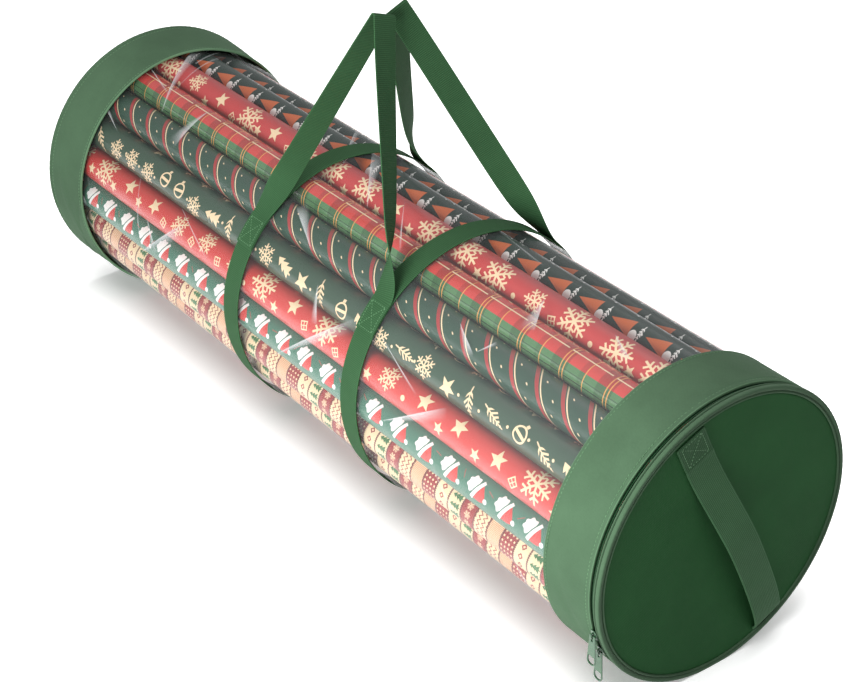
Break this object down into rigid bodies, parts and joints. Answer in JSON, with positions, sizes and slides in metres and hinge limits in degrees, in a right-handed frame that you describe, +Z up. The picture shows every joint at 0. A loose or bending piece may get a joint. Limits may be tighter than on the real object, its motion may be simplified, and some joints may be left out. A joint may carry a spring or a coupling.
{
  "type": "gift wrap organizer",
  "caption": "Round clear storage bag for rolls of gift wrap, with zipped fabric lid, webbing bands, carry handles and its rolls inside.",
  "frame": {"origin": "on the floor, under the middle of the overall length with the lid's strap", "axes": "+X along the bag towards its lid, -Y the near side where the zip sliders are parked, +Z up"},
  "size_m": [1.05, 0.312, 0.5208],
  "materials": {
    "clear_sheet": "clear flexible PVC sheet",
    "cloth": "woven polyester, coated inside",
    "lid_cloth": "woven polyester, coated inside",
    "piping": "bias binding over cord",
    "webbing": "ribbed polypropylene webbing",
    "lid_webbing": "ribbed polypropylene webbing",
    "zip_tape": "woven zip tape",
    "zip_chain": "moulded coil",
    "slider": "painted die casting",
    "pull": "painted die casting",
    "board": "stiff grey board",
    "hoop": "flat plastic stay",
    "wrap_1": "printed coated paper",
    "wrap_2": "printed coated paper",
    "wrap_3": "printed coated paper",
    "wrap_4": "printed coated paper",
    "wrap_5": "printed coated paper",
    "wrap_6": "printed coated paper",
    "wrap_7": "printed coated paper",
    "wrap_8": "printed coated paper"
  },
  "bodies": {
    "bag": {"clear_tube": "clear_sheet", "front_collar": "cloth", "rear_collar": "cloth", "front_hoop": "hoop", "rear_hoop": "hoop", "base_binding": "cloth", "base_panel": "cloth", "base_board": "board", "rear_band": "webbing", "front_band": "webbing", "handle_tab_near_rear": "webbing", "handle_tab_near_front": "webbing", "handle_tab_far_rear": "webbing", "handle_tab_far_front": "webbing", "collar_zip_tape": "zip_tape", "collar_zip_chain": "zip_chain", "lid_hinge_strip": "cloth", "wrap_roll_01": "wrap_2", "wrap_roll_02": "wrap_3", "wrap_roll_03": "wrap_4", "wrap_roll_04": "wrap_5", "wrap_roll_05": "wrap_6", "wrap_roll_06": "wrap_7", "wrap_roll_07": "wrap_8", "wrap_roll_08": "wrap_1", "wrap_roll_09": "wrap_2", "wrap_roll_10": "wrap_3", "wrap_roll_11": "wrap_4", "wrap_roll_12": "wrap_5", "wrap_roll_13": "wrap_6", "wrap_roll_14": "wrap_7", "wrap_roll_15": "wrap_8", "wrap_roll_16": "wrap_1", "wrap_roll_17": "wrap_2", "wrap_roll_18": "wrap_3", "wrap_roll_19": "wrap_4", "wrap_roll_20": "wrap_5", "wrap_roll_21": "wrap_1"},
    "lid": {"lid_binding": "piping", "lid_panel": "lid_cloth", "lid_board": "board", "lid_zip_tape": "zip_tape", "lid_zip_chain": "zip_chain", "lid_handle": "lid_webbing"},
    "slider_1": {"zip_slider_1": "slider"},
    "pull_1": {"zip_pull_1": "pull"},
    "slider_2": {"zip_slider_2": "slider"},
    "pull_2": {"zip_pull_2": "pull"},
    "handle_near": {"carry_handle_near": "webbing"},
    "handle_far": {"carry_handle_far": "webbing"}
  },
  "joints": [
    {"name": "lid_hinge", "type": "hinge", "parent": "bag", "child": "lid", "pos_m": [0.4988, 0.14166, 0.22076], "axis": [0, -0.4226, 0.9063], "range_deg": [0, 150]},
    {"name": "zip_1", "type": "hinge", "parent": "bag", "child": "slider_1", "pos_m": [0.49645, 0, 0.1547], "axis": [1, 0, 0], "range_deg": [-144, 0]},
    {"name": "pull_1_swing", "type": "hinge", "parent": "slider_1", "child": "pull_1", "pos_m": [0.49645, -0.15107, 0.10561], "axis": [1, 0, 0], "range_deg": [-140, 8]},
    {"name": "zip_2", "type": "hinge", "parent": "bag", "child": "slider_2", "pos_m": [0.49645, 0, 0.1547], "axis": [1, 0, 0], "range_deg": [0, 149]},
    {"name": "pull_2_swing", "type": "hinge", "parent": "slider_2", "child": "pull_2", "pos_m": [0.49645, -0.14154, 0.08258], "axis": [1, 0, 0], "range_deg": [-25, 20]},
    {"name": "near_handle_flop", "type": "hinge", "parent": "bag", "child": "handle_near", "pos_m": [0, -0.11052, 0.26522], "axis": [1, 0, 0], "range_deg": [0, 145]},
    {"name": "far_handle_flop", "type": "hinge", "parent": "bag", "child": "handle_far", "pos_m": [0, 0.11052, 0.26522], "axis": [-1, 0, 0], "range_deg": [0, 145]}
  ]
}
